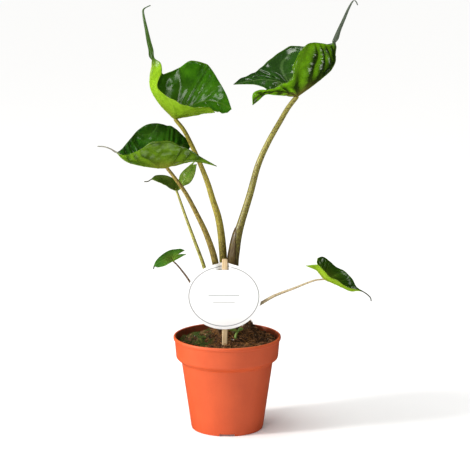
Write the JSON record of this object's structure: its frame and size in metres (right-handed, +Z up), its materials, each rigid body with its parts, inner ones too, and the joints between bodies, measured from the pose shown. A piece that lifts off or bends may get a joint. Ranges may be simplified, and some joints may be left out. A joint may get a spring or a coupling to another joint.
{
  "type": "potted alocasia stingray",
  "caption": "Potted aroid with arching mottled stalks, cupped glossy leaves ending in whip tails, a tapered plastic nursery pot, soil and an oval card on a stick.",
  "frame": {"origin": "centre of the pot's underside, on the ground plane", "axes": "+Z up the plant, -Y towards the front of the label card, +X to the right of the card as seen from the front"},
  "size_m": [0.3008, 0.1225, 0.4775],
  "materials": {
    "pot_plastic": "satin terracotta orange polypropylene",
    "potting_soil": "rough dark brown potting mix with moss and fibres",
    "crown_bark": "dull brown green stem base",
    "young_green": "smooth light green shoot",
    "pale_wood": "plain pale wood",
    "white_card": "white satin card",
    "mottled_petiole": "smooth yellow green mottled with brown",
    "glossy_leaf": "glossy dark green above, lighter green below"
  },
  "bodies": {
    "root": {"pot": "pot_plastic", "soil": "potting_soil", "crown": "crown_bark", "new_shoot": "young_green", "label_stick": "pale_wood", "label_card": "white_card", "petiole_1": "mottled_petiole", "petiole_2": "mottled_petiole", "petiole_3": "mottled_petiole", "petiole_4": "mottled_petiole", "petiole_5": "mottled_petiole", "petiole_6": "mottled_petiole", "leaf_1": "glossy_leaf", "leaf_2": "glossy_leaf", "leaf_3": "glossy_leaf", "leaf_4": "glossy_leaf", "leaf_5": "glossy_leaf", "leaf_6": "glossy_leaf"}
  },
  "joints": []
}
